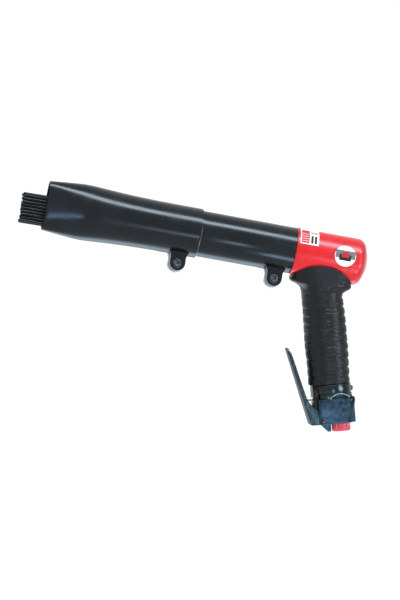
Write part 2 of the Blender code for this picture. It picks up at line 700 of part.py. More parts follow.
def inlet(grip):
    """Threaded bush, strainer behind it and the ribbed red transport plug."""
    bush = tube("inlet_bushing", 9.2, 6.3, 160.0, BLOCK_END, 24)
    add("inlet_bushing", moved(bush, (INLET_T, 0, 0)), bright_steel(), grip)
    strainer = turned("inlet_strainer", [(0, 153.0), (5.4, 153.0), (5.9, 153.6), (5.9, 159.6), (5.2, 159.6),
                                         (5.2, 154.2), (0, 154.2)], 18)
    add("inlet_strainer", moved(strainer, (INLET_T, 0, 0)), bright_steel(), grip)
    ribs = 14
    outline = []
    for k in range(ribs * 4):
        a = 2 * math.pi * k / (ribs * 4)
        r = 9.3 if k % 4 in (0, 1) else 8.6
        outline.append((r * math.cos(a), r * math.sin(a)))
    cap = lofted("inlet_plug", [[(x, y, s) for x, y in outline] for s in (168.9, 177.5)])
    piece = add("inlet_plug", moved(cap, (INLET_T, 0, 0)), red_enamel(), grip, at=(INLET_T, 0, 168.9))
    shank = rod("shank", 6.0, 161.5, 170.0)
    combine(piece, cutter("plug_shank", moved(shank, (INLET_T, 0, 0)), grip), "UNION")


def main():
    for old in list(bpy.data.objects):
        bpy.data.objects.remove(old, do_unlink=True)
    world = empty("tool_frame", Matrix.Translation((-CENTRE_X * MM, 0, -CENTRE_Z * MM)))
    barrel = empty("barrel_line", Matrix(((0, 0, 1, 0), (1, 0, 0, 0), (0, 1, 0, 0), (0, 0, 0, 1))), world)
    rake = math.radians(GRIP_RAKE)
    lean = Matrix(((math.cos(rake), 0, math.sin(rake), GRIP_X * MM), (0, -1, 0, 0),
                   (math.sin(rake), 0, -math.cos(rake), 0), (0, 0, 0, 1)))
    grip = empty("grip_line", lean, world)
    front_tube(barrel)
    rear_tube(barrel)
    clamp_screw("front_clamp_screw", FRONT_LUG, barrel)
    clamp_screw("rear_clamp_screw", REAR_LUG, barrel)
    needle_holder(barrel)
    needles(barrel)
    blow_mechanism(barrel)
    handle_body(barrel, grip)
    grip_sleeve(world, barrel, grip)
    films(barrel)
    valve_block(grip)
    exhaust_collar(grip)
    throttle(grip)
    inlet(grip)


main()
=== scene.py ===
# %% [markdown]
# # A pneumatic needle scaler
# This air hammer drives a bundle of steel needles instead of a chisel. A red head holds the striking
# piston, two lacquered tubes reach forward from it, and a rubber grip hangs below with the throttle.
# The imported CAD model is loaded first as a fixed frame. Every visible CAD solid then gets a finer
# piece built over it, and the hidden ones get a material.

import math

import bmesh
import bpy
import numpy as np
from mathutils import Matrix, Vector, noise


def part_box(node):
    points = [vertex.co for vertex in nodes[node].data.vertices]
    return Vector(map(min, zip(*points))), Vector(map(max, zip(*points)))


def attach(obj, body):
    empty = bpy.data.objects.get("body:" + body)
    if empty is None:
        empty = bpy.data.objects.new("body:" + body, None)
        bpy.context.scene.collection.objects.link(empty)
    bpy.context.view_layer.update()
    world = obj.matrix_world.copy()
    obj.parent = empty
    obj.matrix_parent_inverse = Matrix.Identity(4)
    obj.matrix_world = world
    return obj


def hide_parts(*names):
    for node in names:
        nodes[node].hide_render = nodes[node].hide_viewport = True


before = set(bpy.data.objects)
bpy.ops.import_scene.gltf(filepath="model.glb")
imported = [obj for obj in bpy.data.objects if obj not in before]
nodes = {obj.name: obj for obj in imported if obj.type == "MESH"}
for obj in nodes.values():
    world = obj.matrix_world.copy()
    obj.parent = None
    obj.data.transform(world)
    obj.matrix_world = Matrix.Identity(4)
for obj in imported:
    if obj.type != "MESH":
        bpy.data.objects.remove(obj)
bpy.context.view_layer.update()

# %% [markdown]
# ## Two lines to build on
# The tool has two axes: the barrel line, and the grip line that leaves it raked backwards. Drawing
# each piece about its own line keeps its numbers simple, and a matrix then lays it in place. The
# barrel line's zero is the front face of the head, which the CAD boxes give.

# %% Barrel line and grip line
MM = 0.001
GRIP_X, GRIP_RAKE = 26.8, math.radians(15.5)
cylinder_low, cylinder_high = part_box("cylinder")
HEAD_FRONT = Vector((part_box("handle_body")[0].x, 0, (cylinder_low.z + cylinder_high.z) / 2))
# On the barrel line x is the tool's right, y is up and z runs backwards
BARREL = Matrix(((0, 0, 1, HEAD_FRONT.x), (1, 0, 0, 0), (0, 1, 0, HEAD_FRONT.z), (0, 0, 0, 1)))
# On the grip line x is backwards, y is the tool's left and z runs down the grip
cosine, sine = math.cos(GRIP_RAKE), math.sin(GRIP_RAKE)
GRIP = Matrix(((cosine, 0, sine, HEAD_FRONT.x + GRIP_X * MM), (0, -1, 0, 0),
               (sine, 0, -cosine, HEAD_FRONT.z), (0, 0, 0, 1)))
# Side-view drawings use the tool's own x and z, from the head's front face
SIDE = Matrix.Translation(HEAD_FRONT)
print("head front at", [round(v, 4) for v in HEAD_FRONT])

# %% [markdown]
# ## Cages and profiles
# A turned piece is a half profile spun by a Screw modifier. A tube or a moulding is a cage of equal
# loops, smoothed by Subdivision Surface. Smoothing pulls a cage inwards, so each loop is first
# solved for: the cage whose smoothed loop passes through the points that were asked for.

# %% Mesh makers, in millimetres
def new_piece(name, form):
    """An object from a BMesh drawn in millimetres."""
    bmesh.ops.recalc_face_normals(form, faces=form.faces)
    mesh = bpy.data.meshes.new(name)
    form.to_mesh(mesh)
    form.free()
    mesh.transform(Matrix.Diagonal((MM, MM, MM, 1)))
    piece = bpy.data.objects.new(name, mesh)
    bpy.context.scene.collection.objects.link(piece)
    return piece


def stack(piece, kind, **settings):
    """Add one modifier to a piece's stack."""
    step = piece.modifiers.new(kind.title(), kind)
    for key, value in settings.items():
        setattr(step, key, value)
    return piece


def turned(name, profile, steps=96, ring=False):
    """Spin (radius, z) points about Z. They run from the top down on the outside."""
    form = bmesh.new()
    points = [form.verts.new((radius, 0, z)) for radius, z in profile]
    for one, two in zip(points, points[1:] + points[:1] if ring else points[1:]):
        form.edges.new((one, two))
    piece = new_piece(name, form)
    return stack(piece, "SCREW", steps=steps, render_steps=steps, use_merge_vertices=True,
                 merge_threshold=1e-6)


def skinned(name, loops, ends="open"):
    """Skin equal loops of points. The ends stay open, are capped, or are joined into a ring."""
    form = bmesh.new()
    rows = [[form.verts.new(point) for point in loop] for loop in loops]
    for one, two in zip(rows, rows[1:] + rows[:1] if ends == "ring" else rows[1:]):
        for k in range(len(one)):
            after = (k + 1) % len(one)
            form.faces.new((one[k], one[after], two[after], two[k]))
    if ends == "capped":
        form.faces.new(rows[0])
        form.faces.new(rows[-1][::-1])
    return new_piece(name, form)


def oval(half_x, half_y, power=2.0, count=24):
    """A superellipse: power 2 is an ellipse, more is squarer."""
    points = []
    for k in range(count):
        a = 2 * math.pi * k / count
        c, s = math.cos(a), math.sin(a)
        points.append((half_x * math.copysign(abs(c) ** (2 / power), c),
                       half_y * math.copysign(abs(s) ** (2 / power), s)))
    return points


def cage_loop(points):
    """The loop that Subdivision Surface smooths onto these points."""
    count = len(points)
    one = np.eye(count)
    pull = (4 * one + np.roll(one, 1, 0) + np.roll(one, -1, 0)) / 6
    return np.linalg.solve(pull, np.array(points, float)).tolist()


def block(name, low, high):
    """A box from its low corner to its high corner."""
    (x0, y0, z0), (x1, y1, z1) = low, high
    corners = ((x0, y0), (x1, y0), (x1, y1), (x0, y1))
    return skinned(name, [[(x, y, z) for x, y in corners] for z in (z0, z1)], "capped")


def plate(name, outline, y0, y1):
    """A side-view outline of (x, z) points, as thick as y0 to y1."""
    return skinned(name, [[(x, y, z) for x, z in outline] for y in (y0, y1)], "capped")


print("mesh makers ready")

# %% [markdown]
# ## Finishing a piece
# Each piece's stack is applied and its place is written into its mesh, so its object stays at the
# origin, where the export wants it. A live stack would do for a piece drawn in place, but these are
# drawn about their own lines, and most are also cut by Booleans.

# %% Cut, settle and dress
def carve(piece, *tools, operation="DIFFERENCE"):
    """Cut a piece with other pieces, or join them to it."""
    for tool in tools:
        stack(piece, "BOOLEAN", object=tool, operation=operation, solver="EXACT")
        tool.hide_render = True
    return piece


def soften(piece, width=0.4, segments=3, angle=30):
    """Round the edges that meet at more than an angle."""
    return stack(piece, "BEVEL", width=width * MM, segments=segments, limit_method="ANGLE",
                 angle_limit=math.radians(angle), use_clamp_overlap=True, miter_outer="MITER_ARC")


def settle(piece, line, turn=Matrix()):
    """Apply the stack and write the place into the mesh. The tools that cut it are removed."""
    tools = [step.object for step in piece.modifiers if step.type == "BOOLEAN"]
    mesh = bpy.data.meshes.new_from_object(piece.evaluated_get(bpy.context.evaluated_depsgraph_get()))
    piece.modifiers.clear()
    form = bmesh.new()
    form.from_mesh(mesh)
    bmesh.ops.remove_doubles(form, verts=form.verts, dist=2e-6)
    bmesh.ops.recalc_face_normals(form, faces=form.faces)
    form.to_mesh(mesh)
    form.free()
    mesh.transform(line @ turn)
    mesh.shade_smooth()
    mesh.set_sharp_from_angle(angle=math.radians(34))
    piece.data = mesh
    for tool in tools:
        bpy.data.objects.remove(tool)
    return piece


def dress(piece, body, slot, coat, *cad):
    """Give a piece its material and the body it rides on, and hide the CAD nodes it stands for."""
    piece.data.materials.clear()
    piece.data.materials.append(coat)
    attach(piece, body)
    if cad:
        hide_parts(*cad)
    print(f"{piece.name}: {len(piece.data.polygons)} faces, {slot}")
    return piece


# A piece drawn about Z is laid along X, which runs backwards on the grip line, or along Y, across it
ALONG_X = Matrix(((0, 0, 1, 0), (1, 0, 0, 0), (0, 1, 0, 0), (0, 0, 0, 1)))
ALONG_Y = Matrix(((0, 1, 0, 0), (0, 0, 1, 0), (1, 0, 0, 0), (0, 0, 0, 1)))


# %% [markdown]
# ## Materials
# Each finish starts as one Principled shader. Its colour drifts between two hex values on a noise
# whose grain is a real size, and the same noise varies the gloss and lifts a little relief. A
# Mapping node can stretch the grain, as brushing or drawing does. Images could carry the same drift,
# but noise needs no unwrapping and stays sharp however close one looks.

# %% Colours and nodes
def colour(code):
    """An sRGB hex value as linear RGBA."""
    channels = [int(code[k:k + 2], 16) / 255 for k in (1, 3, 5)]
    return (*[c / 12.92 if c <= 0.04045 else ((c + 0.055) / 1.055) ** 2.4 for c in channels], 1)


def add_node(tree, kind, links=None, **settings):
    """Add a shader node. Its links are sockets to join or values to set."""
    made = tree.nodes.new(kind)
    for key, value in settings.items():
        setattr(made, key, value)
    for socket, value in (links or {}).items():
        if isinstance(value, bpy.types.NodeSocket):
            tree.links.new(value, made.inputs[socket])
        else:
            made.inputs[socket].default_value = value
    return made


def finish(name, dark, light, grain, rough, relief=0.0, stretch=(1, 1, 1), turn=0.0, **sockets):
    """A finish from two colours, its grain in mm, its least and most roughness and its relief in mm."""
    made = bpy.data.materials.new(name)
    made.use_nodes = True
    tree = made.node_tree
    shader = tree.nodes["Principled BSDF"]
    for key, value in sockets.items():
        shader.inputs[key.replace("_", " ")].default_value = value
    place = add_node(tree, "ShaderNodeTexCoord")
    scale = [1 / (grain * MM * s) for s in stretch]
    mapped = add_node(tree, "ShaderNodeMapping",
                      {"Vector": place.outputs["Object"], "Scale": scale, "Rotation": (0, turn, 0)},
                      vector_type="POINT")
    cloud = add_node(tree, "ShaderNodeTexNoise",
                     {"Vector": mapped.outputs[0], "Scale": 1.0, "Detail": 4, "Roughness": 0.6})
    tint = add_node(tree, "ShaderNodeMapRange",
                    {"Value": cloud.outputs["Fac"], "From Min": 0.35, "From Max": 0.65})
    mix = add_node(tree, "ShaderNodeMix", {"Factor": tint.outputs[0]}, data_type="RGBA")
    mix.inputs[6].default_value, mix.inputs[7].default_value = colour(dark), colour(light)
    gloss = add_node(tree, "ShaderNodeMapRange",
                     {"Value": cloud.outputs["Fac"], "From Min": 0.3, "From Max": 0.7,
                      "To Min": rough[0], "To Max": rough[1]})
    tree.links.new(mix.outputs[2], shader.inputs["Base Color"])
    tree.links.new(gloss.outputs[0], shader.inputs["Roughness"])
    if relief:
        bump = add_node(tree, "ShaderNodeBump",
                        {"Height": cloud.outputs["Fac"], "Distance": relief * MM, "Strength": 1.0})
        tree.links.new(bump.outputs[0], shader.inputs["Normal"])
    return made


# Stoved lacquer on drawn tube: near black and smooth, so it only shows the studio as soft blue stripes
lacquer = finish("stoved_black_lacquer", "#0B0C0D", "#121316", 22, (0.16, 0.24), relief=0.015,
                 Specular_IOR_Level=0.22, Specular_Tint=(0.78, 0.90, 1.0, 1))
# Enamel on a casting: thick and bright, and rough enough to spread a light into a broad band
enamel = finish("red_casting_enamel", "#C80D14", "#D2131A", 14, (0.24, 0.32), relief=0.02,
                Specular_IOR_Level=0.36, Specular_Tint=(1.0, 0.78, 0.86, 1))
# Moulded nitrile rubber: black, with the faint sheen that hands leave
rubber = finish("moulded_nitrile_rubber", "#0C0C0C", "#131313", 5, (0.30, 0.44), relief=0.05,
                Specular_IOR_Level=0.17, Specular_Tint=(0.88, 0.94, 1.0, 1))
# Seals and buffers: cut or turned from the same rubber, so they are duller
seal_rubber = finish("seal_rubber", "#0C0C0D", "#151517", 3, (0.5, 0.7), Specular_IOR_Level=0.3)
# Blued steel: heat and oil leave teal and dark blue clouds a few millimetres across
blued = finish("blued_machined_steel", "#1F2736", "#2C424D", 4, (0.24, 0.40), relief=0.02, Metallic=1.0)
# Pressed strip: blued too, rolled lengthwise, so its grain is long and thin
pressed = finish("rolled_strip_steel", "#1F2B30", "#3C4C53", 1.2, (0.24, 0.38), relief=0.01,
                 stretch=(1, 1, 14), turn=0.5, Metallic=1.0, Specular_Tint=(0.55, 0.52, 0.60, 1))
# Black nickel on the exhaust ring and the neck under it, and a pale band round the neck's arches that is a
# painted highlight on their edges
ring_black = finish("black_nickel", "#23282B", "#2D3538", 10, (0.14, 0.22), relief=0.01, Metallic=1.0)
arch_edge_highlight = finish("painted_arch_edge_highlight", "#6F8288", "#8FA3A9", 2, (0.25, 0.4), Metallic=1.0)
# Painted shade: the boss in front of the block is brown-black for the shade it sits in, set back behind the
# block's flat
boss_shade_black = finish("boss_painted_shade_steel", "#171413", "#2A2523", 3, (0.30, 0.46), relief=0.03,
                     Metallic=1.0)
# Drawn needle wire: oiled, with streaks finer than a millimetre along its length
wire = finish("oiled_drawn_wire", "#0B0C0D", "#2A2C2E", 0.7, (0.24, 0.42), relief=0.03,
              stretch=(24, 1, 1), Metallic=1.0)
# Ground steel: bright, with fine streaks
ground = finish("ground_steel", "#9EA1A5", "#B9BBBE", 0.6, (0.22, 0.34), relief=0.01,
                stretch=(1, 1, 10), Metallic=1.0)
# Blackened screws, rubbed bare in patches by the hex key
blackened = finish("blackened_screw_steel", "#1B1C1D", "#5A5C5F", 1.0, (0.30, 0.5), relief=0.05,
                   Metallic=1.0)
# Zinc plate on the right-hand ears: pale and soft
zinc = finish("zinc_plated_steel", "#8E9397", "#A9ADB0", 2, (0.34, 0.5), relief=0.02, Metallic=1.0)
# Moulded polythene: a soft red, since light goes a few millimetres into it
plug_red = finish("moulded_red_polythene", "#D63F58", "#E25068", 4, (0.22, 0.30), relief=0.02,
                  Subsurface_Weight=0.15, Subsurface_Radius=(0.004, 0.001, 0.001))
print(len(bpy.data.materials), "materials")

# %% [markdown]
# ## Printed films
# The head carries a wrapped data label and a round badge. Plain panels and bars stand in for the words
# and the mark. They could be thin pieces stuck on the films, but ink has no thickness, so the material
# draws them from distances along the barrel line and up from it.

# %% Print
def mark(made, patches):
    """Colour rectangles of a finish: (x from, x to, z from, z to, hex) in barrel mm."""
    tree = made.node_tree
    shader = tree.nodes["Principled BSDF"]
    place = add_node(tree, "ShaderNodeTexCoord")
    axes = add_node(tree, "ShaderNodeSeparateXYZ", {"Vector": place.outputs["Object"]})
    ink = shader.inputs["Base Color"].links[0].from_socket
    for x0, x1, z0, z1, code in patches:
        inside = None
        for axis, zero, low, high in (("X", HEAD_FRONT.x, x0, x1), ("Z", HEAD_FRONT.z, z0, z1)):
            middle, half = zero + (low + high) / 2 * MM, (high - low) / 2 * MM
            near = add_node(tree, "ShaderNodeMath", {0: axes.outputs[axis], 1: middle, 2: half},
                            operation="COMPARE").outputs[0]
            inside = near if inside is None else add_node(
                tree, "ShaderNodeMath", {0: inside, 1: near}, operation="MULTIPLY").outputs[0]
        mix = add_node(tree, "ShaderNodeMix", {"Factor": inside}, data_type="RGBA")
        tree.links.new(ink, mix.inputs[6])
        mix.inputs[7].default_value = colour(code)
        ink = mix.outputs[2]
    tree.links.new(ink, shader.inputs["Base Color"])
    return made


def film(name, patches):
    """White printed film. It is matt, so that no glare hides the print."""
    return mark(finish(name, "#EFEFEC", "#F8F8F6", 6, (0.5, 0.6), Specular_IOR_Level=0.12), patches)


# The label's red panel with four pale rules, two black bars beside it and a grey line over them
pale_rules = [(4.4, 10.8, z, z + 0.7, "#E9BDBD") for z in (12.6, 14.8, 17.0, 19.2)]
black_bars = [(x, x + 2.4, 11.2, 18.4, "#15191B") for x in (13.2, 16.8)]
label_film = film("printed_label_film", [(3.6, 11.6, 10.8, 22.6, "#BF353E"), *pale_rules, *black_bars,
                                         (12.6, 20.4, 20.2, 21.8, "#97A2A6")])
# The badge's grey band, a black panel under it and a red one over both
badge_film = film("printed_badge_film", [(39.3, 59.5, 2.6, 10.4, "#5F7377"),
                                         (43.4, 55.4, 0.4, 6.4, "#191D1E"),
                                         (45.6, 53.2, 3.4, 9.4, "#B02A33")])
# A pale line on the front tube's back rim is a painted highlight, standing in for light caught on the rim's
# edge
rim_highlight_lacquer = mark(lacquer.copy(), [(-97.3, -96.8, -26.0, 8.0, "#7C766D")])
rim_highlight_lacquer.name = "black_lacquer_painted_rim_highlight"
print("films printed")

# %% [markdown]
# ## Front tube
# The front tube is drawn steel, squeezed at the nose to an upright oval that gathers the needles.
# It could be lofted densely by hand, but a coarse cage under Subdivision Surface gives the same
# smooth swage from twelve loops. Solidify then gives the wall and a Bevel breaks the cut rims.

# %% Front tube
FRONT_R, FRONT_WALL = 24.8, 1.5
SEAM, NOSE_RIM = -96.7, -253.0
NOSE = (  # place, half height, half width, squareness
    (SEAM - 0.3, FRONT_R, FRONT_R, 2.0), (-110, FRONT_R, FRONT_R, 2.0), (-128, FRONT_R, FRONT_R, 2.0),
    (-145, 24.95, 24.8, 2.0), (-162, 25.4, 24.8, 2.0), (-178, 26.0, 24.7, 2.0), (-192, 26.8, 24.4, 2.0),
    (-204, 27.6, 23.9, 2.0), (-215, 28.2, 22.4, 2.05), (-227, 27.3, 18.9, 2.2), (-240, 26.1, 14.2, 2.4),
    (NOSE_RIM, 24.8, 9.8, 2.7))
SLIT_HALF = 1.2
CLAMP_TURN = Matrix.Rotation(math.radians(-12), 4, "Z")   # the clamps sit round towards the left


def clamp_slit(radius, low, high):
    """The slot in a tube's underside that lets its clamp close, from low to high along the barrel."""
    slit = block("slit", (-SLIT_HALF, -radius - 4, low), (SLIT_HALF, -radius + 5, high))
    slit.data.transform(CLAMP_TURN)
    return slit


loops = [[(px, py, x) for px, py in cage_loop(oval(wide, tall, power))] for x, tall, wide, power in NOSE]
front = skinned("front_barrel", loops)
stack(front, "SUBSURF", levels=2, render_levels=2)
stack(front, "SOLIDIFY", thickness=FRONT_WALL * MM, offset=-1)
carve(front, clamp_slit(FRONT_R, -136, SEAM + 4))
soften(front, 0.35, 2, 40)
# the front tube's lacquer carries the painted highlight on its back rim
dress(settle(front, BARREL), "nose", "tube_black", rim_highlight_lacquer, "front_tube")

# %% [markdown]
# ## Rear tube
# The rear tube is plain drawn tube with a lip turned in at its front end. It could be a cylinder with
# its bore cut out, but one closed profile spun by Screw gives wall, bore and lip at once.

# %% Rear tube
REAR_R, REAR_BORE, LIP_BORE = 23.1, 21.1, 17
REAR_BACK, REAR_FRONT, LIP = -0.3, -135, 3
rear = turned("rear_barrel", [(REAR_R, REAR_BACK), (REAR_R, REAR_FRONT), (LIP_BORE, REAR_FRONT),
                              (LIP_BORE, REAR_FRONT + LIP), (REAR_BORE, REAR_FRONT + LIP),
                              (REAR_BORE, REAR_BACK)], 128, ring=True)
carve(rear, clamp_slit(REAR_R, -32, 4))
soften(rear, 0.3, 2, 40)
dress(settle(rear, BARREL), "handle", "tube_black", lacquer, "rear_tube")

# %% [markdown]
# ## Clamps
# Two ears are welded under each tube and a socket screw draws them together. One outline serves all
# four: a foot that runs into the tube and a round end. The left ear is counterbored for the screw's
# head. The right one takes the screw's end and is left in zinc plate. The ears are cut from plate, so
# a flat outline with a thickness is all that they need, and the screws are lathe shapes.

# %% Ears
EAR_R, EAR_IN, EAR_OUT = 7.8, 4.0, 9.8
HOLE_R, SINK_R, SINK = 3.2, 4.8, -5.4     # the drilled hole, and where its counterbore ends


def ear_outline(x, reach, radius):
    """Distances below the barrel line and along it: a round end on a foot that runs into the tube."""
    round_end = [(reach + EAR_R * math.sin(a), x + EAR_R * math.cos(a))
                 for a in (math.pi * k / 24 for k in range(25))]
    # the foot widens where the weld runs out onto the tube
    weld = ((radius - 2.0, EAR_R + 2.4), (radius + 0.8, EAR_R + 0.9), (radius + 3.2, EAR_R))
    return ([(down, x + wide) for down, wide in weld] + round_end
            + [(down, x - wide) for down, wide in weld[::-1]])


def drilled_ear(name, outline, side, screw_line):
    """One ear, left of the barrel line for side -1 and right of it for side 1."""
    ear = skinned(name, [[(across, -down, z) for down, z in outline]
                         for across in (side * EAR_IN, side * EAR_OUT)], "capped")
    ear.data.transform(CLAMP_TURN)
    drill = turned("drill", [(0, 12), (HOLE_R, 12), (HOLE_R, SINK), (SINK_R, SINK), (SINK_R, -12), (0, -12)],
                   48)
    carve(ear, settle(drill, screw_line))
    soften(ear, 0.5, 3, 40)
    return settle(ear, BARREL)


# %% Socket screws
SHANK_R, SHANK_END, CAP_R, CAP_SEAT, CAP_TOP = 2.9, 9.6, 4.5, -5.7, -9.4
KEY_R, KEY_DEEP = 2.35, 2.4


def socket_screw(name, screw_line):
    """A socket screw on its own line, whose negative end is the head's."""
    screw = turned(name, [(0, SHANK_END), (SHANK_R - 0.5, SHANK_END), (SHANK_R, SHANK_END - 0.6),
                          (SHANK_R, CAP_SEAT), (CAP_R, CAP_SEAT), (CAP_R, CAP_TOP + 0.5),
                          (CAP_R - 0.5, CAP_TOP), (0, CAP_TOP)], 48)
    hexagon = [(KEY_R * math.cos(a), KEY_R * math.sin(a)) for a in (math.pi * k / 3 for k in range(6))]
    carve(screw, skinned("key_socket", [[(px, py, z) for px, py in hexagon]
                                        for z in (CAP_TOP - 1, CAP_TOP + KEY_DEEP)], "capped"))
    soften(screw, 0.2, 2, 40)
    return settle(screw, BARREL @ screw_line)


# %% Both clamps
# Place of the screw, its distance below the barrel line, the tube's radius and the body it rides on
CLAMPS = {"front": (-114.4, 34.5, FRONT_R, "nose"), "rear": (-15.9, 32.5, REAR_R, "handle")}
EARS = ((-1, "left", "tube_black", lacquer), (1, "right", "bright_steel", zinc))
for end, (x, reach, radius, body) in CLAMPS.items():
    screw_line = (CLAMP_TURN @ Matrix.Translation((0, -reach * MM, x * MM))
                  @ Matrix.Rotation(math.radians(90), 4, "Y"))
    for side, name, slot, coat in EARS:
        ear = drilled_ear(f"{end}_{name}_ear", ear_outline(x, reach, radius), side, screw_line)
        dress(ear, body, slot, coat)
    dress(socket_screw(f"{end}_socket_screw", screw_line), body, "screw_steel", blackened,
          f"{end}_clamp_screw")

# %% [markdown]
# ## Needles
# Each needle is a headed wire, straight in the holder and bent as it is drawn into the flat mouth.
# A curve with a round bevel is the natural way: it follows the middle of the CAD solid's rings, and
# point radius swells it to the head. Striking wears each tip to its own slant.

# %% Needle curves
def ring_middles(node):
    """The middles of a CAD rod's rings, from its head to its tip."""
    rings = {}
    for vert in nodes[node].data.vertices:
        rings.setdefault(round(vert.co.x * 2000), {})[tuple(round(c, 6) for c in vert.co)] = 1
    return [Vector(np.mean(list(rings[x]), axis=0)) for x in sorted(rings, reverse=True)]


NEEDLE_R, NEEDLE_HEAD_R = 1.5, 2.3
FILLET, TIP_START, TIP_ROUND = 0.1 * MM, 1.6 * MM, 0.2 * MM


def needle_route(middles):
    """The points of a needle's curve with their swell: a rounded head, the wire and a rounded tip."""
    back, shoulder, tip = middles[0], middles[1], middles[-1]
    swell = NEEDLE_HEAD_R / NEEDLE_R
    step = Vector((FILLET, 0, 0))
    along = (tip - middles[-2]).normalized()
    return [(back, swell * 0.8), (back - step * 4, swell), (shoulder + step, swell), (shoulder, 1.0),
            *[(point, 1.0) for point in middles[2:-1]],
            (tip - along * TIP_START, 1.0), (tip - along * TIP_ROUND, 0.92), (tip, 0.7)]


def needle_mesh(name, route):
    """The mesh of a round curve through the route."""
    line = bpy.data.curves.new(name, "CURVE")
    line.dimensions = "3D"
    line.bevel_depth = NEEDLE_R * MM
    line.bevel_resolution = 4
    line.use_fill_caps = True
    spline = line.splines.new("POLY")
    spline.points.add(len(route) - 1)
    for point, (place, radius) in zip(spline.points, route):
        point.co = (*place, 1)
        point.radius = radius
    guide = bpy.data.objects.new("guide", line)
    bpy.context.scene.collection.objects.link(guide)
    mesh = bpy.data.meshes.new_from_object(guide.evaluated_get(bpy.context.evaluated_depsgraph_get()))
    bpy.data.objects.remove(guide)
    return mesh


# %% Needles
NEEDLES, WORN = 28, 0.9 * MM      # how many, and how far back from the tip the wear reaches
for n in range(1, NEEDLES + 1):
    cad = f"needle_{n:02d}"
    middles = ring_middles(cad)
    tip = middles[-1]
    mesh = needle_mesh(cad + "_wire", needle_route(middles))
    slant = 2.4 * n       # in radians, so each tip wears to another side
    for vert in mesh.vertices:
        if vert.co.x < tip.x + WORN:
            lean = (vert.co.y - tip.y) * math.cos(slant) + (vert.co.z - tip.z) * math.sin(slant)
            vert.co.x += 0.5 * (lean + NEEDLE_R * MM)
    needle = bpy.data.objects.new(cad + "_wire", mesh)
    bpy.context.scene.collection.objects.link(needle)
    dress(settle(needle, Matrix()), "needle_pack", "needle_steel", wire, cad)

# %% [markdown]
# ## Head
# The head is a casting with a bored front and a round-cornered closed end. It is a lathe shape, so a
# half profile and a Screw give it exactly. Its core runs down inside the rubber as a second piece.

# %% Head and grip core
HEAD_R, HEAD_END, CORNER, CROWN = 23.5, 74.8, 9.0, 3
HEAD_BORE, BORE_END = 19.3, 58
# the end face is slightly crowned, so the corner's arc takes over from it 14 degrees round
rounding = [(HEAD_R - CORNER + CORNER * math.sin(a), HEAD_END - CROWN - CORNER + CORNER * math.cos(a))
            for a in (math.radians(14 + 76 * k / 12) for k in range(13))]
head = turned("head_casting", [(0, HEAD_END), (5, HEAD_END - 0.15), (10, HEAD_END - 0.75), *rounding,
                               (HEAD_R, 0), (HEAD_BORE, 0), (HEAD_BORE, BORE_END), (0, BORE_END)], 128)
soften(head, 0.7, 3, 40)
dress(settle(head, BARREL), "handle", "head_red", enamel, "handle_body")

NECK_T = 1.8          # the round pieces under the grip are centred this far behind the grip line
CORE_DEEP, CORE_WIDE, CORE_SQUARE = 17.8, 14.3, 2.2     # half depth, half width, squareness


def core_loops(room, top, end):
    """The core's outline at two places down the grip line, with room round it."""
    outline = oval(CORE_DEEP + room, CORE_WIDE + room, CORE_SQUARE, 48)
    return [[(x, y, s) for x, y in outline] for s in (top, end)]


core = skinned("grip_core", core_loops(0, 27, 128), "capped")
bore = turned("bore", [(0, 140), (10, 140), (10, 110), (6, 110), (6, 20), (0, 20)], 48)
bore.data.transform(Matrix.Translation((NECK_T * MM, 0, 0)))
dress(settle(carve(core, bore), GRIP), "handle", "head_red", enamel)

# %% [markdown]
# ## Rubber grip
# The sleeve is one rubber moulding pushed over the core: a saddle that hugs the head with thin lips
# front and back, then an oval grip with soft ribs that wrinkle where the rubber gathers. The cage
# gives the body, drawn too high at the saddle, and an arc in side view trims its lip. The lip could
# be in the cage, but smoothing would blunt the thin edge that a cut leaves sharp.

# %% Sleeve body
def grip_point(t, s):
    """A point of the grip line's side view, in the tool's own x and z."""
    return (GRIP_X + s * sine + t * cosine, t * sine - s * cosine)


SLEEVE_END = 129.0
BANDS = (  # front point, back point, half width, squareness
    (grip_point(-21.4, SLEEVE_END), grip_point(20.8, SLEEVE_END), 17.8, 2.2),
    (grip_point(-21.2, 110), grip_point(21.4, 110), 18.1, 2.2),
    (grip_point(-22.1, 88), grip_point(22.1, 88), 18.4, 2.2),
    (grip_point(-21.3, 60), grip_point(21.6, 60), 18.2, 2.2),
    ((17.4, -45.5), (59.0, -38.5), 18.4, 2.2),
    ((15.9, -37.5), (56.9, -33.6), 18.7, 2.2),
    ((11.2, -31.8), (60.5, -30.4), 19.2, 2.3),
    ((2.4, -30.4), (64.4, -27.6), 20.0, 2.4),
    ((1.0, -27.6), (64.8, -25.0), 20.8, 2.4),
    ((0.6, -19.0), (65.0, -19.8), 22.0, 2.5),
    ((0.6, -12.0), (65.0, -12.8), 23.2, 2.8),
    ((0.6, -4.0), (65.0, -4.0), 24.1, 3.0),
)


def blend(one, two, u):
    """The numbers that lie part of the way from one set to another."""
    return [a + (b - a) * u for a, b in zip(one, two)]


def between(bands, gap):
    """Bands with more put between them where two are further apart than a gap."""
    full = []
    for one, two in zip(bands, bands[1:]):
        parts = max(1, round(math.dist(one[0], two[0]) / gap))
        for k in range(parts):
            u = k / parts
            full.append((blend(one[0], two[0], u), blend(one[1], two[1], u), *blend(one[2:], two[2:], u)))
    return full + [bands[-1]]


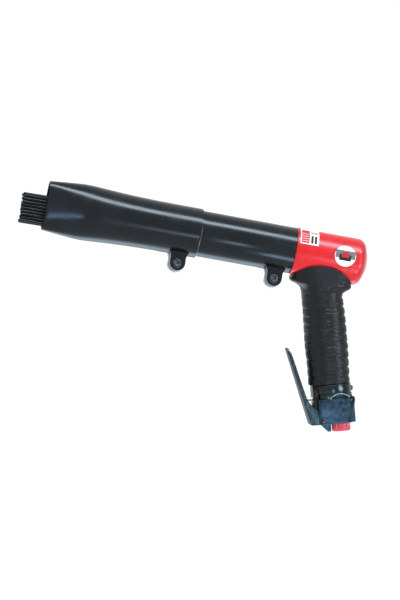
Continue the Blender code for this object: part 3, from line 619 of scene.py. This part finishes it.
loops = []
for front_point, back_point, wide, power in between(BANDS, 7):
    middle = [(a + b) / 2 for a, b in zip(front_point, back_point)]
    half = [(b - a) / 2 for a, b in zip(front_point, back_point)]
    loops.append([(middle[0] + half[0] * a, b * wide, middle[1] + half[1] * a)
                  for a, b in cage_loop(oval(1, 1, power, 18))])
grip = skinned("ribbed_grip", [loops[0], *loops, loops[-1]], "capped")
stack(grip, "SUBSURF", levels=4, render_levels=4)
LIP_X, LIP_Z, LIP_HALF, LIP_RISE = 33, -28, 31.5, 19.2
lip = [(LIP_X - LIP_HALF * math.cos(a), LIP_Z + LIP_RISE * math.sin(a) ** 1.25)
       for a in (math.pi * k / 36 for k in range(37))]
trim = plate("saddle_trim", [*lip, (90, LIP_Z), (90, 30), (-30, 30), (-30, LIP_Z)], -40, 40)
settle(grip, SIDE)
print("sleeve before ribs:", len(grip.data.vertices), "points")

# %% [markdown]
# ## Ribs and wrinkles
# Moulded ribs run round the grip, deepest at its back and front edges, with finer ones between them
# and creases where the rubber gathers. A Displace modifier could press in an even wave, but these
# ribs wander and fade, so each point is pressed in by a sum of waves and smooth noise.

# %% Depth of the ribs
RIB = 8.7             # from one coarse rib to the next


def ease(low, high, value):
    """Rise smoothly from 0 at low to 1 at high."""
    u = min(1, max(0, (value - low) / (high - low)))
    return u * u * (3 - 2 * u)


def wave(place, pitch, sharpness):
    """Crests of a chosen sharpness, one each pitch."""
    return (0.5 + 0.5 * math.cos(2 * math.pi * place / pitch)) ** sharpness


def cloud(t, y, s, across, along):
    """Smooth noise with its own grain across the grip and along it, in mm."""
    return noise.noise(Vector((t / across, y / across, s / along)))


def rib_depth(t, y, s):
    """How far the rubber is pressed in at a point of the grip line, in mm."""
    place = s - 0.05 * t + 2.0 * cloud(t, y, s, 18, 26) + 0.5 * cloud(t, y, s, 5, 9)
    towards_back = ease(-12, 20, t)
    towards_edge = ease(11, 19, abs(t))
    fade = ease(38, 46, s) * ease(SLEEVE_END, SLEEVE_END - 3, s)
    patches = ease(-0.12, 0.22, cloud(t, y, s + 40, 9, 3.4)) * (0.45 + 0.55 * towards_back)
    coarse = (0.08 + 0.34 * towards_edge + 0.5 * towards_back * towards_edge) * wave(place, RIB, 2.5)
    fine = 0.62 * patches * wave(place + 1.6 * cloud(t, y, s, 10, 7), RIB / 2, 5)
    hair = 0.16 * wave(place + 1.1 * cloud(t, y, s + 90, 7, 5), RIB / 6, 1)
    folds = 0.7 * max(0, cloud(t, y, s, 7, 3.0)) * ease(22, 32, s)
    return fade * (coarse + fine + hair) + (1 - 0.5 * fade) * folds


# %% Press in the ribs and hollow the sleeve
to_grip_line = GRIP.inverted()
normals = [vert.normal.copy() for vert in grip.data.vertices]
depths = []
for vert, out in zip(grip.data.vertices, normals):
    t, y, s = (to_grip_line @ vert.co) / MM
    depths.append(rib_depth(t, y, s))
    vert.co -= out * depths[-1] * MM
grip.data.update()
print("deepest rib:", round(max(depths), 2), "mm")

ROOM = 0.3            # between the rubber and what it covers
hollow = skinned("hollow", core_loops(ROOM, 10, SLEEVE_END + 4), "capped")
settle(hollow, GRIP)
head_space = turned("head_space", [(0, 90), (HEAD_R + ROOM, 90), (HEAD_R + ROOM, -20), (0, -20)], 128)
settle(head_space, BARREL)
settle(trim, SIDE)
carve(grip, hollow, head_space, trim)
dress(settle(grip, Matrix()), "handle", "grip_rubber", rubber, "grip_sleeve")

# %% [markdown]
# ## Films on the head
# A film is a grid of points laid on the cylinder, then given its thickness by Solidify. A flat film
# under a Shrinkwrap would also do, but the head is a plain cylinder here, so its points are known.

# %% Data label
FILM_R, FILM = HEAD_R + 0.3, 0.4
LABEL_X, LABEL_LONG, LABEL_LOW, LABEL_ROUND = 2.6, 18.6, 24, 132    # the last two in degrees


def on_head(x, angle):
    """A point just over the head, by its place along the barrel and its angle above the left side."""
    return (-FILM_R * math.cos(angle), FILM_R * math.sin(angle), x)


form = bmesh.new()
grid = [[form.verts.new(on_head(LABEL_X + LABEL_LONG * i / 4, math.radians(LABEL_LOW + LABEL_ROUND * j / 40)))
         for i in range(5)] for j in range(41)]
for one, two in zip(grid, grid[1:]):
    for i in range(4):
        form.faces.new((one[i], one[i + 1], two[i + 1], two[i]))
label = new_piece("printed_label", form)
stack(label, "SOLIDIFY", thickness=FILM * MM, offset=1)
dress(settle(label, BARREL), "handle", "label_white", label_film, "data_label")

# %% Round badge
BADGE_X, BADGE_R, BADGE_RISE = 49.4, 10.7, 5.1
badge_angle = math.asin(BADGE_RISE / HEAD_R)
form = bmesh.new()
hub = form.verts.new(on_head(BADGE_X, badge_angle))
rings = [[form.verts.new(on_head(BADGE_X + BADGE_R * share * math.cos(a),
                                 badge_angle + BADGE_R * share * math.sin(a) / FILM_R))
          for a in (2 * math.pi * k / 64 for k in range(64))] for share in (0.25, 0.5, 0.75, 1.0)]
for k in range(64):
    after = (k + 1) % 64
    form.faces.new((hub, rings[0][k], rings[0][after]))
    for one, two in zip(rings, rings[1:]):
        form.faces.new((one[k], two[k], two[after], one[after]))
badge = new_piece("round_sticker", form)
stack(badge, "SOLIDIFY", thickness=FILM * MM, offset=1)
dress(settle(badge, BARREL), "handle", "label_white", badge_film, "round_badge")

# %% [markdown]
# ## Exhaust ring
# Spent air leaves through a glossy ring between rubber and block. It is a short turned tube with the
# front cut flat and open, where the block's boss passes. It is made as the real one is: turned whole,
# then cut.

# %% Exhaust ring and its screw
RING_R, RING_BORE, RING_TOP, RING_END = 19.5, 13.8, 129.3, 138.3
RING_FLAT, RING_GAP = -13.4, 11.3     # where its front is cut flat, and half the width of the gap
SCREW_S, SCREW_R = 135.4, 1.5
ring = turned("exhaust_ring", [(RING_R, RING_END), (RING_R, RING_TOP), (RING_BORE, RING_TOP),
                               (RING_BORE, RING_END)], 128, ring=True)
soften(ring, 0.6, 3, 40)
settle(ring, Matrix.Translation((NECK_T * MM, 0, 0)))
screw_place = Matrix.Translation((0, 0, SCREW_S * MM)) @ ALONG_X
hole = turned("hole", [(0, 30), (SCREW_R + 0.3, 30), (SCREW_R + 0.3, 14), (0, 14)], 32)
carve(ring, settle(hole, screw_place), block("flat", (-30, -30, 120), (RING_FLAT, 30, 150)),
      block("gap", (-30, -RING_GAP, 120), (-8, RING_GAP, 150)))
dress(settle(ring, GRIP), "handle", "collar_black", ring_black, "exhaust_collar")

screw = turned("round_head_screw", [(0, 23.4), (1.2, 23.3), (2.2, 22.8), (2.9, 21.9), (2.9, 21.6),
                                    (SCREW_R, 21.6), (SCREW_R, 17), (0, 17)], 48)
dress(settle(screw, GRIP @ screw_place), "handle", "screw_steel", blackened, "collar_screw")

# %% [markdown]
# ## Valve block
# The block is machined from steel bar: a square body with a toe below, a slot in each cheek for the
# lever's flanges, and the bores for the inlet, the stem and the pin. One cage with holes in it would
# be hard to draw, so each is cut by a Boolean with the shape of the tool that cuts it. One Bevel then
# breaks all the edges.

# %% Block sizes and shapes about the grip line
BLOCK_TOP, BLOCK_END, TOE_END = 143.4, 168.6, 177.0
BLOCK_FRONT, BLOCK_BACK, BLOCK_HALF, CORNER_CUT = NECK_T - 16.3, NECK_T + 16.3, 17.0, 2.0
SLOT_IN, SLOT_OUT = 10.8, 13.4
STEM_S, STEM_R = 143.1, 1.9
INLET_T, INLET_R = 8.3, 9.5
PIVOT, PIN_R = (-11.2, 165.7), 1.5


def on_grip_line(name, profile, t, steps=64):
    """A turned shape beside the grip line, its place t behind it."""
    return settle(turned(name, profile, steps), Matrix.Translation((t * MM, 0, 0)))


def across_grip(name, radius, t, s, y0, y1, steps=64):
    """A rod that crosses the grip line from y0 to y1."""
    rod = turned(name, [(0, y1), (radius, y1), (radius, y0), (0, y0)], steps)
    return settle(rod, Matrix.Translation((t * MM, 0, s * MM)) @ ALONG_Y)


def on_stem_line(name, profile, steps=48):
    """A turned shape on the stem's line, which runs backwards through the block."""
    return settle(turned(name, profile, steps), Matrix.Translation((0, 0, STEM_S * MM)) @ ALONG_X)


def stem_bore():
    return on_stem_line("stem_bore", [(0, 30), (4.2, 30), (4.2, 1.5), (2.9, 1.5), (2.9, -9),
                                      (STEM_R + 0.3, -9), (STEM_R + 0.3, -30), (0, -30)])


# %% Valve block
left_half = [(BLOCK_FRONT, BLOCK_HALF - CORNER_CUT), (BLOCK_FRONT + CORNER_CUT, BLOCK_HALF),
             (BLOCK_BACK - CORNER_CUT, BLOCK_HALF), (BLOCK_BACK, BLOCK_HALF - CORNER_CUT)]
outline = left_half + [(x, -y) for x, y in left_half[::-1]]
body = skinned("valve_housing", [[(x, y, s) for x, y in outline] for s in (BLOCK_TOP, BLOCK_END)], "capped")
toe = plate("toe", [(-13.5, BLOCK_END - 1), (-12.9, BLOCK_END + 0.6), (-6.0, TOE_END), (-2.8, TOE_END),
                    (-2.0, BLOCK_END - 1)], -6, 6)
slots = [block("slot", (-22, y0, 150), (-3, y1, 180))
         for y0, y1 in ((-SLOT_OUT, -SLOT_IN), (SLOT_IN, SLOT_OUT))]
inlet_bore = on_grip_line("inlet_bore", [(0, 190), (INLET_R, 190), (INLET_R, 159.7), (6.2, 159.7),
                                         (6.2, 152.5), (3, 152.5), (3, STEM_S), (0, STEM_S)], INLET_T)
pin_bore = across_grip("pin_bore", PIN_R + 0.3, *PIVOT, -25, 25, 32)
carve(body, toe, operation="UNION")
carve(body, *slots, stem_bore(), inlet_bore, pin_bore)
soften(body, 0.45, 3, 40)
dress(settle(body, GRIP), "handle", "block_steel", blued, "valve_block")

# %% [markdown]
# ## Neck and boss
# Above the block a turned neck carries the exhaust ring, with an arch milled into each side, and a
# boss stands in front, painted brown-black for the shade it sits in. They are the same bar as the block,
# but another finish, so each is its own piece here, trimmed where the block begins.

# %% Neck and boss
ARCH_R, ARCH_T, ARCH_S, ARCH_DEEP = 12.5, 7.4, 151.4, 15.4
RIM_R, RIM_BORE, RIM_IN, RIM_OUT = 12.9, 12.45, 16.5, 17.0
BOSS_FRONT, BOSS_BACK, BOSS_HALF, BOSS_TOP, BOSS_END = -18.4, -9.05, 10.45, 130, 166

neck = on_grip_line("valve_neck", [(0, BLOCK_TOP - 0.02), (18.6, BLOCK_TOP - 0.02), (18.6, RING_END + 0.3),
                                   (13.5, RING_END + 0.3), (13.5, RING_TOP), (9.7, RING_TOP), (9.7, 112),
                                   (0, 112)], NECK_T, 96)
carve(neck, block("footprint", (BLOCK_FRONT + 0.2, 0.1 - BLOCK_HALF, 100),
                  (BLOCK_BACK - 0.1, BLOCK_HALF - 0.1, 150)), operation="INTERSECT")
arches = [across_grip("arch", ARCH_R, ARCH_T, ARCH_S, y0, y1)
          for y0, y1 in ((-22, -ARCH_DEEP), (ARCH_DEEP, 22))]
carve(neck, *arches, block("boss_seat", (-30, -10.5, 100), (-9, 10.5, 160)), stem_bore())
soften(neck, 0.4, 3, 40)
dress(settle(neck, GRIP), "handle", "collar_black", ring_black)

for y0, y1, side in ((-RIM_OUT, -RIM_IN, "left"), (RIM_IN, RIM_OUT, "right")):
    # a pale ring round each arch is a painted highlight on the arch's edge
    rim = turned(f"{side}_arch_rim", [(RIM_R, y1), (RIM_R, y0), (RIM_BORE, y0), (RIM_BORE, y1)], 96,
                 ring=True)
    settle(rim, Matrix.Translation((ARCH_T * MM, 0, ARCH_S * MM)) @ ALONG_Y)
    carve(rim, block("below", (-30, -30, BLOCK_TOP + 0.05), (40, 30, 190)),
          block("behind", (BLOCK_BACK - 0.6, -30, 100), (60, 30, 190)))
    dress(settle(rim, GRIP), "handle", "collar_black", arch_edge_highlight)

# the boss is coloured brown-black as painted shade
boss = block("stem_boss", (BOSS_FRONT, -BOSS_HALF, BOSS_TOP), (BOSS_BACK, BOSS_HALF, BOSS_END))
carve(boss, block("house", (BLOCK_FRONT - 0.02, -20, BLOCK_TOP - 0.02), (40, 20, 190)), stem_bore())
soften(boss, 0.5, 3, 40)
dress(settle(boss, GRIP), "handle", "block_steel", boss_shade_black)

# %% [markdown]
# ## Throttle lever
# The lever is pressed from strip: a plate that widens downwards, with side walls that deepen into
# flanges round the pin. A flat blank could be folded by Simple Deform, but the flanges deepen
# unevenly, so rows of points are drawn on the sheet's outer face. Solidify gives it the strip's
# thickness and a Bevel rounds its folds and edges.

# %% Throttle lever
TIP = (-41.3, 90.0)
LEAN = math.atan2(18.2, 79.3)
STRIP, FOLD = 1.9, 1.1
STATIONS = (  # along the plate: outer edge, flange edge, flange depth, half width
    (0.0, 2.2, 2.6, 7.2), (2.5, 4.6, 3.3, 8.6), (9.0, 9.0, 3.5, 9.4), (36.0, 36.0, 3.7, 11.4),
    (53.0, 54.5, 4.0, 13.0), (59.5, 62.0, 6.4, 13.0), (66.0, 69.5, 11.0, 13.0), (72.0, 76.6, 15.8, 13.0),
    (77.0, 81.6, 16.4, 13.0), (80.6, 84.2, 13.2, 13.0))


def on_lever(p, q, y):
    """A point of the lever, p down its plate, q behind it and y to the left."""
    return (TIP[0] + p * math.sin(LEAN) + q * math.cos(LEAN), y,
            TIP[1] + p * math.cos(LEAN) - q * math.sin(LEAN))


form = bmesh.new()
rows = []
for outer, edge, depth, wide in STATIONS:
    side = [(edge, depth, wide), (outer + (edge - outer) * FOLD / depth, FOLD, wide),
            (outer, 0.25, wide - 0.35), (outer, 0, wide - FOLD)]
    row = side + [(outer, 0, 0)] + [(p, q, -y) for p, q, y in side[::-1]]
    rows.append([form.verts.new(on_lever(*place)) for place in row])
for one, two in zip(rows, rows[1:]):
    for k in range(len(one) - 1):
        form.faces.new((one[k], one[k + 1], two[k + 1], two[k]))
lever = new_piece("lever_pressing", form)
stack(lever, "SOLIDIFY", thickness=STRIP * MM, offset=-1, use_even_offset=True)
settle(lever, Matrix())
carve(lever, across_grip("lever_hole", PIN_R + 0.3, *PIVOT, -25, 25, 32))
soften(lever, 0.4, 3, 40)
dress(settle(lever, GRIP), "lever", "lever_steel", pressed, "throttle_lever")

pin = across_grip("headed_pin", PIN_R, *PIVOT, -16.7, 16.7, 48)
soften(pin, 0.3, 2, 40)
dress(settle(pin, GRIP), "handle", "bright_steel", blackened, "lever_pin")

# %% [markdown]
# ## Stem, plug and clip
# The bright stem runs from the lever into the block. Behind it a plug closes the bore, and a bent
# strip clips over the plug and down the block's back. Stem and plug are lathe shapes. The strip could
# be bent from a flat one, but its side view with a width is the same shape in one step.

# %% Stem, plug and clip
stem = on_stem_line("throttle_pin", [(0, 4), (3.8, 4), (3.8, 2), (STEM_R, 2), (STEM_R, -25.4), (1.0, -26.3),
                                     (0, -26.5)])
soften(stem, 0.2, 2, 30)
dress(settle(stem, GRIP), "stem", "bright_steel", ground, "throttle_stem")
stopper = on_stem_line("bore_plug", [(0, 21.4), (3.6, 21.4), (4.4, 20.6), (4.4, 18.4), (3.9, 18.4), (3.9, 15),
                                     (0, 15)])
dress(settle(stopper, GRIP), "handle", "screw_steel", blackened, "valve_plug")
clip = plate("spring_clip", [(18.4, 169.0), (22.2, 169.0), (22.3, 152.0), (23.2, 148.6), (23.6, 144.8),
                             (22.7, 143.6), (21.8, 144.4), (21.9, 147.2), (18.4, 150.6)], -10, 10)
soften(clip, 0.45, 3, 20)
dress(settle(clip, GRIP), "handle", "block_steel", blued, "valve_clip")

# %% [markdown]
# ## Transport plug
# A red plastic plug keeps dirt out of the air inlet. Its grip is a ring of ribs: the outline steps in
# and out fourteen times, and a Bevel rounds the steps as a mould does. An Array of ribs would look the
# same, but one outline keeps the plug a single closed shape.

# %% Transport plug
RIBS, RIB_R, VALLEY_R = 14, 9.3, 8.0
PLUG_TOP, PLUG_END, SHANK_TOP = 168.9, 177.5, 161.5
outline = []
for k in range(RIBS * 4):
    a = 2 * math.pi * k / (RIBS * 4)
    radius = RIB_R if k % 4 in (0, 1) else VALLEY_R
    outline.append((radius * math.cos(a), radius * math.sin(a)))
cap = skinned("ribbed_plug", [[(x, y, s) for x, y in outline] for s in (PLUG_TOP, PLUG_END)], "capped")
dish = turned("dish", [(0, 180), (6.4, 180), (6.0, 175.8), (0, 175.8)], 64)
shank = turned("shank", [(0, 170), (6.0, 170), (6.0, SHANK_TOP), (0, SHANK_TOP)], 64)
carve(cap, settle(shank, Matrix()), operation="UNION")
carve(cap, settle(dish, Matrix()))
soften(cap, 0.22, 2, 25)
settle(cap, Matrix.Translation((INLET_T * MM, 0, 0)))
dress(settle(cap, GRIP), "plug", "plug_red", plug_red, "inlet_plug")

# %% [markdown]
# ## Hidden pieces
# The pieces inside keep their CAD shapes, which are right, and take the finish of their metal or
# rubber. A CAD node is never moved or reshaped: only its material slots are filled.

# %% Materials of the CAD nodes
INSIDE = {
    ground: ("needle_holder", "needle_spring", "cylinder", "piston", "anvil", "anvil_sleeve", "valve_seat",
             "valve_disc", "valve_cap", "throttle_spring", "inlet_bushing", "inlet_strainer"),
    seal_rubber: ("cylinder_gasket", "anvil_buffer", "stem_seal"),
}
for material, names in INSIDE.items():
    for name in names:
        nodes[name].data.materials.clear()
        nodes[name].data.materials.append(material)
print(sum(map(len, INSIDE.values())), "CAD nodes dressed")

# %% [markdown]
# ## Studio
# The tool hangs over a wide pale floor in a white room. A closed room could be built, but an even
# background light does its work and costs nothing to render.

# %% Floor and surroundings
FLOOR_DEPTH, FLOOR_HALF = 0.52, 30     # in metres
form = bmesh.new()
form.faces.new([form.verts.new((x * FLOOR_HALF, y * FLOOR_HALF, -FLOOR_DEPTH))
                for x, y in ((-1, -1), (1, -1), (1, 1), (-1, 1))])
mesh = bpy.data.meshes.new("pale_floor")
form.to_mesh(mesh)
form.free()
floor = bpy.data.objects.new("pale_floor", mesh)
bpy.context.scene.collection.objects.link(floor)
mesh.materials.append(finish("matt_white_floor", "#FBFAF9", "#FDFCFB", 400, (0.8, 0.9),
                             Specular_IOR_Level=0.1))

world = bpy.data.worlds.new("white_room")
bpy.context.scene.world = world
world.use_nodes = True
sky = world.node_tree.nodes["Background"]
sky.inputs["Color"].default_value = (0.92, 0.97, 1.0, 1)
sky.inputs["Strength"].default_value = 1.2
bpy.context.scene.view_settings.view_transform = "Standard"

# %% [markdown]
# ## Lights
# Black lacquer shows its shape only by what it reflects. A long strip light high in front draws the
# bright line along the tubes, and two cards in front put soft patches on the head. Small cards stand
# close to the pieces whose gloss they draw: the nose, the saddle, the exhaust ring and the underside.
# Two soft lights shape the rest.

# %% Lights
def strip(name, azimuth, elevation, distance, size, power, tint=(1, 1, 1), gloss=True):
    """A rectangular soft light aimed at the tool. Azimuth 0 is the tool's left side.

    It either shows as a reflection or lights the surfaces, so each can be set alone.
    """
    a, e = math.radians(azimuth), math.radians(elevation)
    out = Vector((math.sin(a) * math.cos(e), -math.cos(a) * math.cos(e), math.sin(e)))
    light = bpy.data.lights.new(name, "AREA")
    light.shape = "RECTANGLE"
    light.size, light.size_y = size
    light.energy, light.color = power, tint
    lamp = bpy.data.objects.new(name, light)
    bpy.context.scene.collection.objects.link(lamp)
    lamp.location = out * distance
    lamp.rotation_euler = out.to_track_quat("Z", "Y").to_euler()
    lamp.visible_camera = False
    lamp.visible_diffuse, lamp.visible_glossy = not gloss, gloss


strip("long_strip", 0, 67, 1.4, (2.4, 0.36), 66, (0.92, 0.97, 1.0))
strip("front_card", 11.5, -12, 1.6, (0.24, 0.30), 3.0, (0.84, 0.92, 1.0))
strip("right_card", 47, 18, 1.5, (0.3, 0.5), 4, (0.80, 0.92, 1.0))
strip("collar_card", 59.7, -1.6, 0.49, (0.15, 0.08), 0.8, (0.80, 0.92, 1.0))
strip("saddle_card", 40, -35, 0.8, (0.24, 0.20), 2.2, (0.62, 0.78, 1.0))
strip("nose_card", -40.4, -2.9, 0.52, (0.15, 0.06), 0.4, (0.50, 0.62, 1.0))
strip("low_card", 180, -58, 0.5, (0.9, 0.26), 3.0, (0.50, 0.74, 0.92))
strip("soft_key", -20, 45, 1.8, (1.2, 1.2), 10, gloss=False)
strip("back_light", 180, 35, 1.6, (1.6, 0.6), 14, gloss=False)

# %% [markdown]
# ## Camera
# A long lens looks at the tool's left side, a little from the muzzle and from above, and is rolled so
# that the barrel slopes down to the right. A Track To constraint could aim it, but would undo the
# roll, so its three axes are worked out.

# %% Camera
AZIMUTH, ELEVATION, ROLL = math.radians(8), math.radians(3), math.radians(10.69)
DISTANCE, VIEW_HEIGHT = 6.0, 0.600     # in metres
HEAD_RIGHT, HEAD_UP = 0.093, 0.0494    # where the head's front face stands from the picture's middle
ahead = Vector((math.sin(AZIMUTH) * math.cos(ELEVATION), math.cos(AZIMUTH) * math.cos(ELEVATION),
                -math.sin(ELEVATION)))
level = Vector((math.cos(AZIMUTH), -math.sin(AZIMUTH), 0))
rise = level.cross(ahead)
right = level * math.cos(ROLL) + rise * math.sin(ROLL)
up = rise * math.cos(ROLL) - level * math.sin(ROLL)
aim = HEAD_FRONT - right * HEAD_RIGHT - up * HEAD_UP
lens = bpy.data.cameras.new("studio_camera")
lens.sensor_fit = "VERTICAL"
lens.sensor_height = 36
lens.lens = lens.sensor_height * DISTANCE / VIEW_HEIGHT
camera = bpy.data.objects.new("studio_camera", lens)
bpy.context.scene.collection.objects.link(camera)
turn = Matrix((right, up, -ahead)).transposed().to_4x4()
camera.matrix_world = Matrix.Translation(aim - ahead * DISTANCE) @ turn
bpy.context.scene.camera = camera
